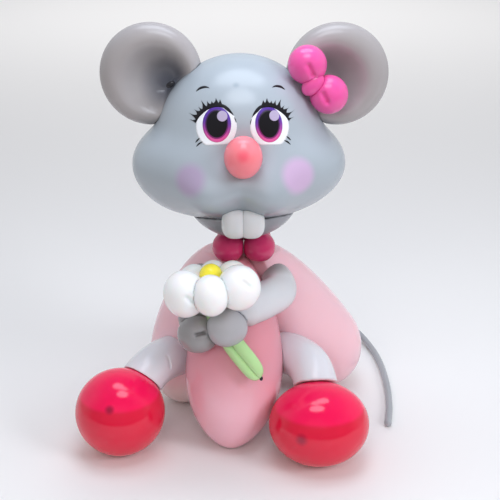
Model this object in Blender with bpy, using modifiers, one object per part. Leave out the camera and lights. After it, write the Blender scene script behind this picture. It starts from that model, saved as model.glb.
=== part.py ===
"""A sitting mouse twisted and tied from latex balloons, about 0.62 m tall.

Each balloon or twisted-off bubble is one closed solid. Where two balloons press on each other they
meet GAP apart: at a flat contact where both are as tight, and in a dent where one is the tighter.
Left and right are as seen from the front, and the face looks along -Y. Metres, +Z up.
"""
import math

import bmesh
import bpy
import numpy as np
from mathutils import Matrix, Vector

# Fits
GAP = 0.0003            # air left between two balloons that press on each other
FLOOR_DENT = 0.0016     # how far the floor flattens a balloon that stands on it
TUBE_END = 0.25         # a tube's end face is this share of its radius inside the round end

# Neck, where the body balloons are tied, and the collar round it
NECK = (0.0015, 0.0, 0.266)
COLLAR_RADII = (0.0245, 0.0270, 0.0235)
COLLAR_DENT = 0.0045    # how far the body flattens each collar bubble from below
COLLAR_SQUEEZE = 0.0013 # how far two neighbours in the collar press into each other
COLLAR_BACK_SIZE = 0.88 # the two bubbles at the back are this much smaller
COLLAR_HEIGHT = NECK[2] + COLLAR_RADII[2] - COLLAR_DENT
COLLAR_TOP = COLLAR_HEIGHT + COLLAR_RADII[2] - GAP

# Head, one skin round its dome and its cheeks, whose middles rise this far above the collar's top
DOME_RISE = 0.1458
DOME_CENTRE = (-0.004, -0.010, COLLAR_TOP + DOME_RISE)
DOME_RADII = (0.117, 0.116, 0.117)
CHEEK_RISE = 0.1078
CHEEK_CENTRE = (-0.005, -0.020, COLLAR_TOP + CHEEK_RISE)
CHEEK_RADII = (0.154, 0.124, 0.0770)
HEAD_BLEND = 9.0        # how tightly the dome turns into the cheeks
JAW_RADII = (0.083, 0.075, 0.0645)
JAW_DENT = 0.0007       # how far the collar flattens the jaw
JAW_CENTRE = (0.000, -0.035, COLLAR_TOP + JAW_RADII[2] - JAW_DENT)
NOSE_WAY = (0.0065, -0.133, 0.024)          # from the middle of the head
NOSE_RADII = (0.026, 0.027, 0.029)
NOSE_SUNK = 0.0140      # how deep the nose sits in the head
NOSE_DIMPLE = 0.016
NOSE_DIMPLE_WIDTH = 0.26
TEETH_WAY = (0.006, -0.114, -0.078)
TEETH_SUNK = -0.0006
TOOTH_RADII = (0.0165, 0.014, 0.0235)
TOOTH_SPACING = 0.031
TOOTH_PINCH = 0.28      # how much thinner the teeth are where they are twisted off from each other
TOOTH_PINCH_WIDTH = 0.16
TOOTH_END = 0.12        # the smaller, the blunter the outer ends

# Ears: measured from the dome
EAR_MIDDLE = 0.0065     # the middle between the ears is this far to the right of the dome's
EAR_OUT = 0.0175        # each ear's centre is this far outside the dome's widest place
EAR_RISE = 0.088        # and this far above it
EAR_BACK = 0.010        # and this far behind its middle
EAR_RADIUS = 0.074
EAR_RIM = 0.021         # half of the thickness at the fat rim
EAR_DISH = 0.010        # half of the thickness in the middle
EAR_SWELL = 0.78        # the rim is thickest at this share of the way out
EAR_NOTCH_ANGLE = 28.0  # degrees below level, towards the head
EAR_NOTCH_DEPTH = 0.55
EAR_NOTCH_WIDTH = 0.20

# Bow: places across and up from the middle of the right ear
BOW_RADIUS = 0.0275
BOW_MIDDLE_RADIUS = 0.0180
BOW_SUNK = 0.0025       # how far the bow's bubbles press into the ear's rim
BOW_UPPER = (-0.046, 0.022)
BOW_LOWER = (-0.015, -0.020)
BOW_MIDDLE = (-0.038, -0.004)
BOW_MIDDLE_FORWARD = 0.010

# Body: widest place, axis, radius, length below it, how far the upper end goes past the neck, and the
# fullness of the lower and the upper end
BODY = {
    "body_front": ((-0.013, -0.086, 0.110), (0.05, 0.41, 0.91), 0.0735, 0.119, 0.0023, 0.58, 0.89),
    "body_right": ((0.1225, 0.075, 0.079), (-0.50, -0.32, 0.80), 0.0710, 0.086, 0.0030, 0.50, 0.37),
    "body_left": ((-0.061, 0.020, 0.136), (0.36, -0.03, 0.93), 0.0765, 0.143, -0.0046, 0.46, 0.36),
    "body_back": ((0.010, 0.118, 0.086), (-0.04, -0.52, 0.85), 0.0720, 0.090, -0.0004, 0.50, 0.40),
}

# Arms, and the way and distance from the end of each arm to the middle of its hand
ARM_RADIUS = 0.0275
ARM_ROUTES = {
    "arm_right": ((0.010, 0.005, 0.243), (0.042, -0.005, 0.230), (0.054, -0.045, 0.222),
                  (0.031, -0.090, 0.219), (0.002, -0.115, 0.212)),
    "arm_left": ((-0.020, 0.004, 0.235), (-0.059, -0.015, 0.226), (-0.071, -0.055, 0.219),
                 (-0.068, -0.095, 0.207), (-0.064, -0.118, 0.193)),
}
HAND_RADII = (0.0300, 0.0285, 0.0275)
HAND_OFFSETS = {"right": (-0.024, -0.030, -0.006), "left": (0.000, -0.016, -0.002)}

# Flower: it stands on the right hand
FLOWER_OFFSET = (-0.020, -0.005)            # across and forward from the right hand
FLOWER_REST = 0.0025                        # its petals start this far above the hand
FLOWER_UP = (-0.09, 0.20, 0.97)
PETALS = ((-155, 1.0), (-92, 0.85), (-22, 0.97), (42, 0.86), (88, 0.84), (133, 0.84))   # angle and size
PETAL_DISTANCE = 0.046
PETAL_RADII = (0.0290, 0.0228, 0.0330)      # along the petal, across it, and up
DISC_RISE = 0.0255
DISC_RADIUS = 0.0168
STEM_RADIUS = 0.0080
STEM_ROUTE = ((-0.004, 0.010, -0.019), (0.002, 0.016, -0.043), (0.015, 0.012, -0.065),
              (0.029, 0.000, -0.086), (0.048, -0.014, -0.106), (0.068, -0.021, -0.130))
STEM_SIDE = (0.66, -0.10, 0.74)             # from one half of the folded balloon to the other
STEM_WAIST = 0.60                           # half of the thickness between the halves, per tube radius

# Legs and feet: each leg's last point is measured from the middle of its foot
LEG_RADIUS = 0.0325
LEG_ROUTES = {
    "leg_right": ((0.039, -0.020, 0.105), (0.076, -0.050, 0.116), (0.100, -0.090, 0.116),
                  (0.110, -0.125, 0.098)),
    "leg_left": ((-0.061, -0.010, 0.096), (-0.099, -0.030, 0.107), (-0.131, -0.070, 0.110),
                 (-0.157, -0.102, 0.093)),
}
LEG_ENDS = {"leg_right": (0.002, 0.017, 0.0215), "leg_left": (0.012, 0.012, 0.0096)}
FOOT_RADII = {"foot_right": (0.0735, 0.066, 0.061), "foot_left": (0.0665, 0.066, 0.065)}
FOOT_PLACES = {"foot_right": (0.112, -0.162), "foot_left": (-0.182, -0.134)}

# Tail: it rises to the body behind, and lies on the floor from there to its tip
TAIL_RADIUS = 0.0056
TAIL_DENT = 0.0003
TAIL_RISE = ((0.075, 0.165, 0.060), (0.110, 0.205, 0.045), (0.155, 0.252, 0.030), (0.192, 0.262, 0.020),
             (0.215, 0.235, 0.011))
TAIL_LYING = ((0.231, 0.188), (0.238, 0.140), (0.2405, 0.090), (0.240, 0.040), (0.236, -0.010),
              (0.231, -0.045), (0.226, -0.074))
TAIL_THIN_START = 0.45  # the root of the tail is this share of its full thickness

# Colours of the latex, linear
COLOURS = {
    "grey_blue": (0.36, 0.41, 0.45), "grey": (0.38, 0.37, 0.37), "grey_light": (0.47, 0.47, 0.50),
    "grey_dark": (0.20, 0.20, 0.21), "pink_pale": (0.80, 0.42, 0.47), "pink_hot": (0.85, 0.10, 0.34),
    "red_pink": (0.83, 0.02, 0.10), "coral": (0.95, 0.20, 0.24), "crimson": (0.42, 0.02, 0.08),
    "white": (0.85, 0.85, 0.84), "yellow": (0.90, 0.78, 0.01), "green": (0.30, 0.68, 0.19),
}


def clear_scene():
    for obj in list(bpy.data.objects):
        bpy.data.objects.remove(obj, do_unlink=True)


def make_latex(name, colour):
    """Glossy balloon rubber."""
    latex = bpy.data.materials.new("latex_" + name)
    latex.use_nodes = True
    shader = latex.node_tree.nodes["Principled BSDF"]
    shader.inputs["Base Color"].default_value = (*colour, 1.0)
    shader.inputs["Roughness"].default_value = 0.2
    shader.inputs["Metallic"].default_value = 0.0
    return latex


def finish(name, mesh, latex):
    """Make the object of a balloon from its mesh, which is in world coordinates."""
    mesh.materials.clear()
    mesh.materials.append(latex)
    mesh.shade_smooth()
    mesh.set_sharp_from_angle(angle=math.radians(40))
    balloon = bpy.data.objects.new(name, mesh)
    bpy.data.collections["balloon_mouse"].objects.link(balloon)
    return balloon


def blow(name, shape, latex, segments=16, rings=10):
    """A balloon from a sphere: shape moves the points of the unit sphere to their places."""
    ball = bmesh.new()
    bmesh.ops.create_uvsphere(ball, u_segments=segments, v_segments=rings, radius=1.0)
    places = shape(np.array([vert.co[:] for vert in ball.verts]))
    for vert, place in zip(ball.verts, places):
        vert.co = place
    bmesh.ops.recalc_face_normals(ball, faces=ball.faces)
    mesh = bpy.data.meshes.new(name)
    ball.to_mesh(mesh)
    ball.free()
    return finish(name, mesh, latex)


def bubble(centre, radii, axes=Matrix.Identity(3)):
    """Shape of a plain bubble: an ellipsoid whose axes are the columns of a matrix."""
    turn = np.array(axes)
    return lambda unit: np.array(centre) + (unit * np.array(radii)) @ turn.T


def reach(unit, origin, centre, radii):
    """Distance from the origin along each unit vector to an ellipsoid that holds the origin."""
    way = unit / np.array(radii)
    start = (np.array(origin) - np.array(centre)) / np.array(radii)
    a = (way * way).sum(1)
    b = way @ start
    c = start @ start - 1.0
    return (-b + np.sqrt(b * b - a * c)) / a


def head_middle():
    return (np.array(DOME_CENTRE) + np.array(CHEEK_CENTRE)) / 2


def head_reach(unit):
    """Distance from the head's middle to the skin that its dome and cheeks make together."""
    dome = reach(unit, head_middle(), DOME_CENTRE, DOME_RADII)
    cheeks = reach(unit, head_middle(), CHEEK_CENTRE, CHEEK_RADII)
    return (dome ** HEAD_BLEND + cheeks ** HEAD_BLEND) ** (1 / HEAD_BLEND)


def head_shape(unit):
    """The head's skin, with a dimple where the nose is tied."""
    nose = np.array(Vector(NOSE_WAY).normalized())
    away = np.arccos(np.clip(unit @ nose, -1, 1))
    skin = head_reach(unit) - NOSE_DIMPLE * np.exp(-((away / NOSE_DIMPLE_WIDTH) ** 2))
    return head_middle() + unit * skin[:, None]


def on_head(way, depth, sunk):
    """Middle of a small balloon of that depth, sunk into the round of the head along a way from its middle."""
    unit = np.array(Vector(way).normalized())
    skin = head_reach(np.array([unit]))[0]
    return head_middle() + unit * (skin + depth - sunk)


def ear_centre(side):
    across = DOME_CENTRE[0] + EAR_MIDDLE + side * (DOME_RADII[0] + EAR_OUT)
    return across, DOME_CENTRE[1] + EAR_BACK, DOME_CENTRE[2] + EAR_RISE


def ear_shape(side):
    """A fat round with a dish in both faces and a notch towards the head; its pole axis is Y."""
    centre = np.array(ear_centre(side))
    notch = math.radians(180 + EAR_NOTCH_ANGLE if side > 0 else -EAR_NOTCH_ANGLE)

    def shape(unit):
        angle = np.arctan2(unit[:, 1], unit[:, 0])
        out = np.hypot(unit[:, 0], unit[:, 1])
        apart = (angle - notch + math.pi) % (2 * math.pi) - math.pi
        outline = EAR_RADIUS * (1 - EAR_NOTCH_DEPTH * np.exp(-((apart / EAR_NOTCH_WIDTH) ** 2)))
        thick = EAR_DISH + (EAR_RIM - EAR_DISH) * np.sin(math.pi / 2 * np.clip(out / EAR_SWELL, 0, 1)) ** 2
        x = outline * out * np.cos(angle)
        z = outline * out * np.sin(angle)
        return centre + np.stack((x, -thick * unit[:, 2], z), 1)

    return shape


def tooth_shape(unit):
    """Two lobes side by side, pinched in the middle."""
    across = TOOTH_SPACING / 2 + TOOTH_RADII[0]
    pinch = 1 - TOOTH_PINCH * np.exp(-((unit[:, 0] / TOOTH_PINCH_WIDTH) ** 2))
    places = unit * np.array((across, TOOTH_RADII[1], TOOTH_RADII[2]))
    lobes = np.abs(1 - np.abs(unit[:, 0])) ** TOOTH_END
    places[:, 1:] *= (pinch * lobes)[:, None]
    return on_head(TEETH_WAY, TOOTH_RADII[1], TEETH_SUNK) + places


def turn_body(name, latex, steps=18, points=11):
    """A pear-shaped balloon turned about its own axis, standing on the floor."""
    widest, axis, radius, below, past_neck, low_fullness, high_fullness = BODY[name]
    above = (Vector(NECK) - Vector(widest)).length + past_neck
    outline = []
    for step in range(points + 1):
        slope = math.pi / 2 - math.pi * step / points
        fullness = high_fullness if slope > 0 else low_fullness
        height = (above if slope > 0 else below) * math.sin(slope)
        outline.append((radius * max(0.0, math.cos(slope)) ** (2 * fullness), 0.0, height))
    outline[0] = (0.0, 0.0, above)
    outline[-1] = (0.0, 0.0, -below)
    profile = bpy.data.meshes.new(name + "_profile")
    profile.from_pydata(outline, [(i, i + 1) for i in range(points)], [])
    guide = bpy.data.objects.new(name + "_profile", profile)
    bpy.context.scene.collection.objects.link(guide)
    screw = guide.modifiers.new("Turn", "SCREW")
    screw.steps = steps
    screw.render_steps = steps
    screw.use_merge_vertices = True
    screw.merge_threshold = 0.00005
    turn = Vector(axis).to_track_quat("Z", "Y").to_matrix().to_4x4()
    guide.matrix_world = Matrix.Translation(widest) @ turn
    mesh = take_mesh(guide)
    lowest = min(vert.co.z for vert in mesh.vertices)
    mesh.transform(Matrix.Translation((0, 0, -FLOOR_DENT - lowest)))
    return finish(name, mesh, latex)


def take_mesh(source):
    """The evaluated mesh of an object in world coordinates, welded; the object is removed."""
    bpy.context.view_layer.update()
    evaluated = source.evaluated_get(bpy.context.evaluated_depsgraph_get())
    mesh = bpy.data.meshes.new_from_object(evaluated)
    mesh.transform(source.matrix_world)
    bpy.data.objects.remove(source, do_unlink=True)
    weld = bmesh.new()
    weld.from_mesh(mesh)
    bmesh.ops.remove_doubles(weld, verts=weld.verts, dist=0.00002)
    bmesh.ops.recalc_face_normals(weld, faces=weld.faces)
    weld.to_mesh(mesh)
    weld.free()
    return mesh


def smooth_route(route, between):
    """Points of a smooth curve through the route's own points."""
    ends = [2 * Vector(route[0]) - Vector(route[1])] + [Vector(p) for p in route]
    ends.append(2 * Vector(route[-1]) - Vector(route[-2]))
    curve = []
    for a, b, c, d in zip(ends, ends[1:], ends[2:], ends[3:]):
        for step in range(between):
            t = step / between
            curve.append(0.5 * (2 * b + (c - a) * t + (2 * a - 5 * b + 4 * c - d) * t ** 2
                                + (3 * b - a - 3 * c + d) * t ** 3))
    curve.append(ends[-2])
    return curve


def draw_tube(name, route, radius, latex, sides=3, between=3, thin_start=1.0):
    """A modelling balloon along a route, with round ends. Sides is the bevel resolution."""
    points = smooth_route(route, between)
    runs = [0.0]
    for a, b in zip(points, points[1:]):
        runs.append(runs[-1] + (b - a).length)
    drawing = bpy.data.curves.new(name + "_route", "CURVE")
    drawing.dimensions = "3D"
    drawing.bevel_depth = radius
    drawing.bevel_resolution = sides
    drawing.use_fill_caps = True
    spline = drawing.splines.new("POLY")
    spline.points.add(len(points) - 1)
    for place, point, run in zip(spline.points, points, runs):
        place.co = (*point, 1.0)
        thickness = thin_start + (1 - thin_start) * min(1.0, 2 * run / runs[-1])
        from_end = min(run, runs[-1] - run) + TUBE_END * radius
        rounding = math.sqrt(max(0.0, 1 - max(0.0, 1 - from_end / radius) ** 2))
        place.radius = thickness * rounding
    guide = bpy.data.objects.new(name + "_route", drawing)
    bpy.context.scene.collection.objects.link(guide)
    return finish(name, take_mesh(guide), latex)


def trim(balloon, point, normal):
    """Cut away what lies beyond a plane and close the flat face."""
    work = bmesh.new()
    work.from_mesh(balloon.data)
    cut = bmesh.ops.bisect_plane(work, geom=work.verts[:] + work.edges[:] + work.faces[:], dist=0.000001,
                                 plane_co=point, plane_no=normal, clear_outer=True)
    rim = [item for item in cut["geom_cut"] if isinstance(item, bmesh.types.BMEdge)]
    if rim:
        bmesh.ops.edgeloop_fill(work, edges=rim)
        bmesh.ops.dissolve_degenerate(work, edges=work.edges, dist=0.00002)
    work.to_mesh(balloon.data)
    work.free()


def press(first, second, point, normal):
    """Flatten two balloons on each other at a plane whose normal points at the second."""
    normal = Vector(normal).normalized()
    trim(first, Vector(point) - normal * GAP / 2, normal)
    trim(second, Vector(point) + normal * GAP / 2, -normal)


def press_balls(first, second, first_centre, second_centre):
    """Flatten two round balloons midway between their skins, along the line of their centres."""
    way = (Vector(second_centre) - Vector(first_centre)).normalized()
    front = max((vert.co - Vector(first_centre)).dot(way) for vert in first.data.vertices)
    back = min((vert.co - Vector(first_centre)).dot(way) for vert in second.data.vertices)
    press(first, second, Vector(first_centre) + way * (front + back) / 2, way)


def dent(soft, *tight):
    """Hollow a soft balloon where tighter ones sink into it."""
    for neighbour in tight:
        skin = neighbour.data.copy()
        offsets = [vert.normal * GAP for vert in skin.vertices]
        for vert, offset in zip(skin.vertices, offsets):
            vert.co += offset
        cutter = bpy.data.objects.new("cut_" + neighbour.name, skin)
        bpy.data.collections["cutters"].objects.link(cutter)
        cutter.hide_render = True
        cutter.display_type = "WIRE"
        cut = soft.modifiers.new("Dent", "BOOLEAN")
        cut.operation = "DIFFERENCE"
        cut.solver = "EXACT"
        cut.object = cutter
        bpy.context.view_layer.update()
        evaluated = soft.evaluated_get(bpy.context.evaluated_depsgraph_get())
        mesh = bpy.data.meshes.new_from_object(evaluated)
        soft.modifiers.remove(cut)
        bpy.data.objects.remove(cutter, do_unlink=True)
        soft.data = keep_largest(mesh)


def keep_largest(mesh):
    """Keep the largest connected piece of a cut mesh, without slivers."""
    work = bmesh.new()
    work.from_mesh(mesh)
    bmesh.ops.remove_doubles(work, verts=work.verts, dist=0.00003)
    bmesh.ops.dissolve_degenerate(work, edges=work.edges, dist=0.00003)
    unseen = set(work.verts)
    groups = []
    while unseen:
        group = set()
        reached = [unseen.pop()]
        while reached:
            vert = reached.pop()
            group.add(vert)
            near = {edge.other_vert(vert) for edge in vert.link_edges} & unseen
            unseen -= near
            reached.extend(near)
        groups.append(group)
    groups.sort(key=len)
    bmesh.ops.delete(work, geom=[vert for group in groups[:-1] for vert in group], context="VERTS")
    work.to_mesh(mesh)
    work.free()
    return mesh


def make_head(latex):
    head = blow("head", head_shape, latex["grey_blue"], 26, 18)
    jaw = blow("jaw", bubble(JAW_CENTRE, JAW_RADII), latex["grey"], 18, 10)
    nose_centre = on_head(NOSE_WAY, NOSE_RADII[1], NOSE_SUNK)
    nose = blow("nose", bubble(nose_centre, NOSE_RADII), latex["coral"], 14, 9)
    teeth = blow("teeth", tooth_shape, latex["white"], 10, 14)
    dent(jaw, head)
    dent(nose, head)
    dent(teeth, head, jaw)
    return head, jaw


def make_ears_and_bow(latex, head):
    ears = {}
    for name, side in (("ear_left", -1), ("ear_right", 1)):
        ears[name] = blow(name, ear_shape(side), latex["grey"], 24, 9)
        dent(ears[name], head)
    right = Vector(ear_centre(1))
    forward = -(EAR_RIM + BOW_RADIUS - BOW_SUNK)
    upper_centre = right + Vector((BOW_UPPER[0], forward, BOW_UPPER[1]))
    lower_centre = right + Vector((BOW_LOWER[0], forward, BOW_LOWER[1]))
    middle_centre = right + Vector((BOW_MIDDLE[0], forward - BOW_MIDDLE_FORWARD, BOW_MIDDLE[1]))
    upper = blow("bow_upper", bubble(upper_centre, (BOW_RADIUS,) * 3), latex["pink_hot"], 12, 8)
    lower = blow("bow_lower", bubble(lower_centre, (BOW_RADIUS,) * 3), latex["pink_hot"], 12, 8)
    middle = blow("bow_middle", bubble(middle_centre, (BOW_MIDDLE_RADIUS,) * 3), latex["pink_hot"], 10, 7)
    press_balls(upper, lower, upper_centre, lower_centre)
    dent(upper, middle, ears["ear_right"], head)
    dent(lower, middle, ears["ear_right"], head)
    dent(middle, ears["ear_right"], head)


def make_collar(latex, jaw):
    """Four bubbles round the neck, each pressed on its two neighbours, the jaw above and the body below."""
    collar = {}
    places = {"collar_front_left": (-1, -1), "collar_front_right": (1, -1),
              "collar_back_right": (1, 1), "collar_back_left": (-1, 1)}
    for name, (across, back) in places.items():
        size = COLLAR_BACK_SIZE if back > 0 else 1.0
        radii = [radius * size for radius in COLLAR_RADII]
        centre = (NECK[0] + across * (radii[0] - COLLAR_SQUEEZE),
                  NECK[1] + back * (radii[1] - COLLAR_SQUEEZE), NECK[2] + radii[2] - COLLAR_DENT)
        collar[name] = blow(name, bubble(centre, radii), latex["crimson"], 12, 8)
    ring = list(collar)
    ways = ((1, 0, 0), (0, 1, 0), (-1, 0, 0), (0, -1, 0))
    for name, following, way in zip(ring, ring[1:] + ring[:1], ways):
        press(collar[name], collar[following], NECK, way)
    trim(jaw, (0, 0, COLLAR_TOP + GAP), (0, 0, -1))
    for balloon in collar.values():
        trim(balloon, (0, 0, COLLAR_TOP), (0, 0, 1))
        trim(balloon, NECK, (0, 0, -1))
    return collar


def make_body(latex):
    """Four pears tied at the neck: each pair meets at the plane midway between their axes."""
    body = {name: turn_body(name, latex["pink_pale"]) for name in BODY}
    names = list(BODY)
    neck = Vector(NECK)
    for i, name in enumerate(names):
        for other in names[i + 1:]:
            way = (Vector(BODY[name][0]) - neck).normalized()
            other_way = (Vector(BODY[other][0]) - neck).normalized()
            press(body[name], body[other], neck, other_way - way)
    for balloon in body.values():
        trim(balloon, (0, 0, 0), (0, 0, -1))
        trim(balloon, (0, 0, NECK[2] - GAP), (0, 0, 1))
    return body


def make_legs(latex, body):
    for side in ("left", "right"):
        radii = FOOT_RADII["foot_" + side]
        centre = Vector((*FOOT_PLACES["foot_" + side], radii[2] - FLOOR_DENT))
        foot = blow("foot_" + side, bubble(centre, radii), latex["red_pink"], 20, 10)
        trim(foot, (0, 0, 0), (0, 0, -1))
        route = LEG_ROUTES["leg_" + side] + (centre + Vector(LEG_ENDS["leg_" + side]),)
        leg = draw_tube("leg_" + side, route, LEG_RADIUS, latex["grey_light"], sides=3, between=3)
        dent(leg, foot, *body.values())


def hand_centre(side):
    return Vector(ARM_ROUTES["arm_" + side][-1]) + Vector(HAND_OFFSETS[side])


def flower_centre():
    rise = HAND_RADII[2] + FLOWER_REST + PETAL_RADII[2]
    return hand_centre("right") + Vector((*FLOWER_OFFSET, rise))


def make_arms(latex, body, collar):
    arms = {}
    for side in ("left", "right"):
        name = "arm_" + side
        arms[name] = draw_tube(name, ARM_ROUTES[name], ARM_RADIUS, latex["grey"], sides=3, between=3)
        dent(arms[name], *body.values(), *collar.values())
    left = blow("hand_left", bubble(hand_centre("left"), HAND_RADII), latex["grey_dark"], 14, 9)
    right = blow("hand_right", bubble(hand_centre("right"), HAND_RADII), latex["grey"], 14, 9)
    press_balls(left, right, hand_centre("left"), hand_centre("right"))
    press_balls(left, arms["arm_left"], hand_centre("left"), ARM_ROUTES["arm_left"][-1])
    return arms, left, right


def petal_axes():
    """Axes of the flower: across, towards the back, and up."""
    up = Vector(FLOWER_UP).normalized()
    across = Vector((0, 1, 0)).cross(up).normalized()
    return across, up.cross(across), up


def make_flower(latex):
    across, back, up = petal_axes()
    petals = []
    ways = []
    for number, (angle, size) in enumerate(PETALS, 1):
        way = across * math.cos(math.radians(angle)) + back * math.sin(math.radians(angle))
        side = up.cross(way)
        centre = flower_centre() + way * PETAL_DISTANCE * size
        axes = Matrix((way, side, up)).transposed()
        radii = [radius * size for radius in PETAL_RADII]
        petals.append(blow("petal_%d" % number, bubble(centre, radii, axes), latex["white"], 12, 8))
        ways.append(way)
    for i in range(len(petals)):
        following = (i + 1) % len(petals)
        press(petals[i], petals[following], flower_centre(), ways[following] - ways[i])
    middle = flower_centre() + up * DISC_RISE
    disc = blow("flower_centre", bubble(middle, (DISC_RADIUS,) * 3), latex["yellow"], 12, 8)
    dent(disc, *petals)
    return petals


def stem_shape(unit):
    """A thin balloon folded double: two tubes side by side along the route, round at both ends."""
    stem = [flower_centre() + Vector(point) for point in STEM_ROUTE]
    route = np.array([point[:] for point in smooth_route(stem, 4)])
    run = np.concatenate(([0.0], np.cumsum(np.linalg.norm(np.diff(route, axis=0), axis=1))))
    along = (1 - unit[:, 2]) / 2 * run[-1]
    middle = np.stack([np.interp(along, run, route[:, axis]) for axis in range(3)], 1)
    side = np.array(Vector(STEM_SIDE).normalized())
    forward = np.stack([np.interp(along, run, np.gradient(route[:, axis], run)) for axis in range(3)], 1)
    front = np.cross(forward, side)
    front /= np.linalg.norm(front, axis=1)[:, None]
    angle = np.arctan2(unit[:, 1], unit[:, 0])
    size = STEM_RADIUS * np.sqrt(1 - np.clip(np.abs(unit[:, 2]), 0, 1) ** 8)
    size *= STEM_WAIST + (2 - STEM_WAIST) * np.abs(np.cos(angle))
    return middle + (size * np.cos(angle))[:, None] * side + (size * np.sin(angle))[:, None] * front


def settle_on_origin():
    """Hang every balloon on one empty, so that the middle of the box's underside is the origin."""
    corners = [vert.co for balloon in bpy.data.collections["balloon_mouse"].objects
               for vert in balloon.data.vertices]
    low = [min(corner[axis] for corner in corners) for axis in range(3)]
    high = [max(corner[axis] for corner in corners) for axis in range(3)]
    root = bpy.data.objects.new("mouse", None)
    root.location = (-(low[0] + high[0]) / 2, -(low[1] + high[1]) / 2, -low[2])
    for balloon in bpy.data.collections["balloon_mouse"].objects:
        balloon.parent = root
    bpy.data.collections["balloon_mouse"].objects.link(root)


def main():
    clear_scene()
    for name in ("balloon_mouse", "cutters"):
        bpy.context.scene.collection.children.link(bpy.data.collections.new(name))
    latex = {name: make_latex(name, colour) for name, colour in COLOURS.items()}
    head, jaw = make_head(latex)
    make_ears_and_bow(latex, head)
    collar = make_collar(latex, jaw)
    body = make_body(latex)
    make_legs(latex, body)
    arms, left_hand, right_hand = make_arms(latex, body, collar)
    petals = make_flower(latex)
    stem = blow("flower_stem", stem_shape, latex["green"], 14, 10)
    dent(stem, *petals)
    dent(left_hand, stem, body["body_front"], *petals)
    dent(right_hand, stem, body["body_front"], *petals)
    dent(arms["arm_right"], right_hand)
    dent(arms["arm_left"], left_hand)
    lying = tuple((across, back, TAIL_RADIUS - TAIL_DENT) for across, back in TAIL_LYING)
    tail = draw_tube("tail", TAIL_RISE + lying, TAIL_RADIUS, latex["grey"], sides=1, between=2,
                     thin_start=TAIL_THIN_START)
    trim(tail, (0, 0, 0), (0, 0, -1))
    dent(tail, body["body_right"], body["body_back"])
    settle_on_origin()


main()
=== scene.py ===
import bpy
import numpy as np
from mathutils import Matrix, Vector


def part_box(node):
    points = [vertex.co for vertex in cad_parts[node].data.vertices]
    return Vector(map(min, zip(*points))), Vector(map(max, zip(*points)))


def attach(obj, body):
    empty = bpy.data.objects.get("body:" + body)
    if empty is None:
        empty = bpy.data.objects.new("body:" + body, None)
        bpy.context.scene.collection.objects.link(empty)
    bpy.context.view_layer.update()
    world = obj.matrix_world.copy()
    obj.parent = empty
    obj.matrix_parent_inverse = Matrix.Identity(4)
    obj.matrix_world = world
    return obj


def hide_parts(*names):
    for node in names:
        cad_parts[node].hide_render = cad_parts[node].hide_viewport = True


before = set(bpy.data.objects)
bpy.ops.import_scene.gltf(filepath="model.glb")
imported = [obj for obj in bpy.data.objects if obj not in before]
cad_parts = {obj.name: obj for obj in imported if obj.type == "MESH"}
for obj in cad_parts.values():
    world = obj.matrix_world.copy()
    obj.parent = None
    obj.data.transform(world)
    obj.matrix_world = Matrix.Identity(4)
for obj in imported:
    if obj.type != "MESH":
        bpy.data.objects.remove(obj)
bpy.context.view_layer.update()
print("frame loaded")

# Places below are those of the model's own source, before it is centred on its box, so every piece is
# moved by the same amount: from the right foot's middle there to the middle of its box here.
footMiddle = np.array((0.112, -0.162))
footBox = np.array(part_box("foot_right"))
toFrame = np.append((footBox[0] + footBox[1])[:2] / 2 - footMiddle, 0.0)

gap = 0.0001            # air between two balloons that press on each other
floorDent = 0.0016      # how far the floor flattens what stands on it


def unit(way):
    way = np.asarray(way, float)
    return way / np.linalg.norm(way, axis=-1, keepdims=True)


def linear(code):
    # sRGB hex to the linear colour that a shader socket takes
    parts = np.array([int(code[i:i + 2], 16) for i in (1, 3, 5)]) / 255
    parts = np.where(parts <= 0.04045, parts / 12.92, ((parts + 0.055) / 1.055) ** 2.4)
    return (*[float(p) for p in parts], 1.0)


def fullTurn(count):
    # even angles round a circle
    return np.linspace(0, 2 * np.pi, count, endpoint=False)


def sphereGrid(rows, columns):
    # unit vectors in rows from the upper pole to the lower one; each pole is a row of equal points
    down = np.linspace(0, np.pi, rows)[:, None]
    around = fullTurn(columns)[None, :]
    return np.stack((np.sin(down) * np.cos(around), np.sin(down) * np.sin(around),
                     np.cos(down) + 0 * around), -1)


def roundOff(depth, soft):
    # nothing outside, the whole depth inside, and a parabola of that half width between the two
    return np.where(depth > soft, depth, np.where(depth < -soft, 0.0, (depth + soft) ** 2 / (4 * soft)))


def pressFlat(points, place, normal, soft=0.003, air=gap / 2):
    # what passes the plane goes back onto it; the normal points at the neighbour
    normal = unit(normal)
    depth = (points - np.asarray(place)) @ normal + air
    return points - roundOff(depth, soft)[..., None] * normal


def pushOut(points, skin, soft=0.003, air=gap):
    # what is inside a tighter neighbour goes out along that neighbour's own normal
    distance, way = skin(points)
    return points + roundOff(air - distance, soft)[..., None] * way


def dentBy(points, anchors, *skins):
    # what is inside a tighter neighbour goes back along the line to its anchor, found by halving, until
    # it lies on that neighbour's skin; the dent's edge is then rounded a little
    anchors = np.broadcast_to(anchors, points.shape)
    for skin in skins:
        inside = skin(points)[0] < 0
        way = points[inside] - anchors[inside]
        near, far = np.zeros(len(way)), np.ones(len(way))
        for halving in range(22):
            middle = (near + far) / 2
            hit = skin(anchors[inside] + way * middle[:, None])[0] < 0
            far = np.where(hit, middle, far)
            near = np.where(hit, near, middle)
        points = points.copy()
        points[inside] = anchors[inside] + way * near[:, None]
        points = pushOut(points, skin, 6 * gap, 0.0)
    return points


def crease(points, centre, start, end, depth, width):
    # a groove between two places of the skin: it sinks towards the centre by a bell of the distance
    start, along = np.asarray(start), np.asarray(end) - np.asarray(start)
    share = np.clip((points - start) @ along / (along @ along), 0, 1)
    away = np.linalg.norm(points - start - share[..., None] * along, axis=-1)
    return points + (depth * np.exp(-(away / width) ** 2))[..., None] * unit(centre - points)


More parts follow.
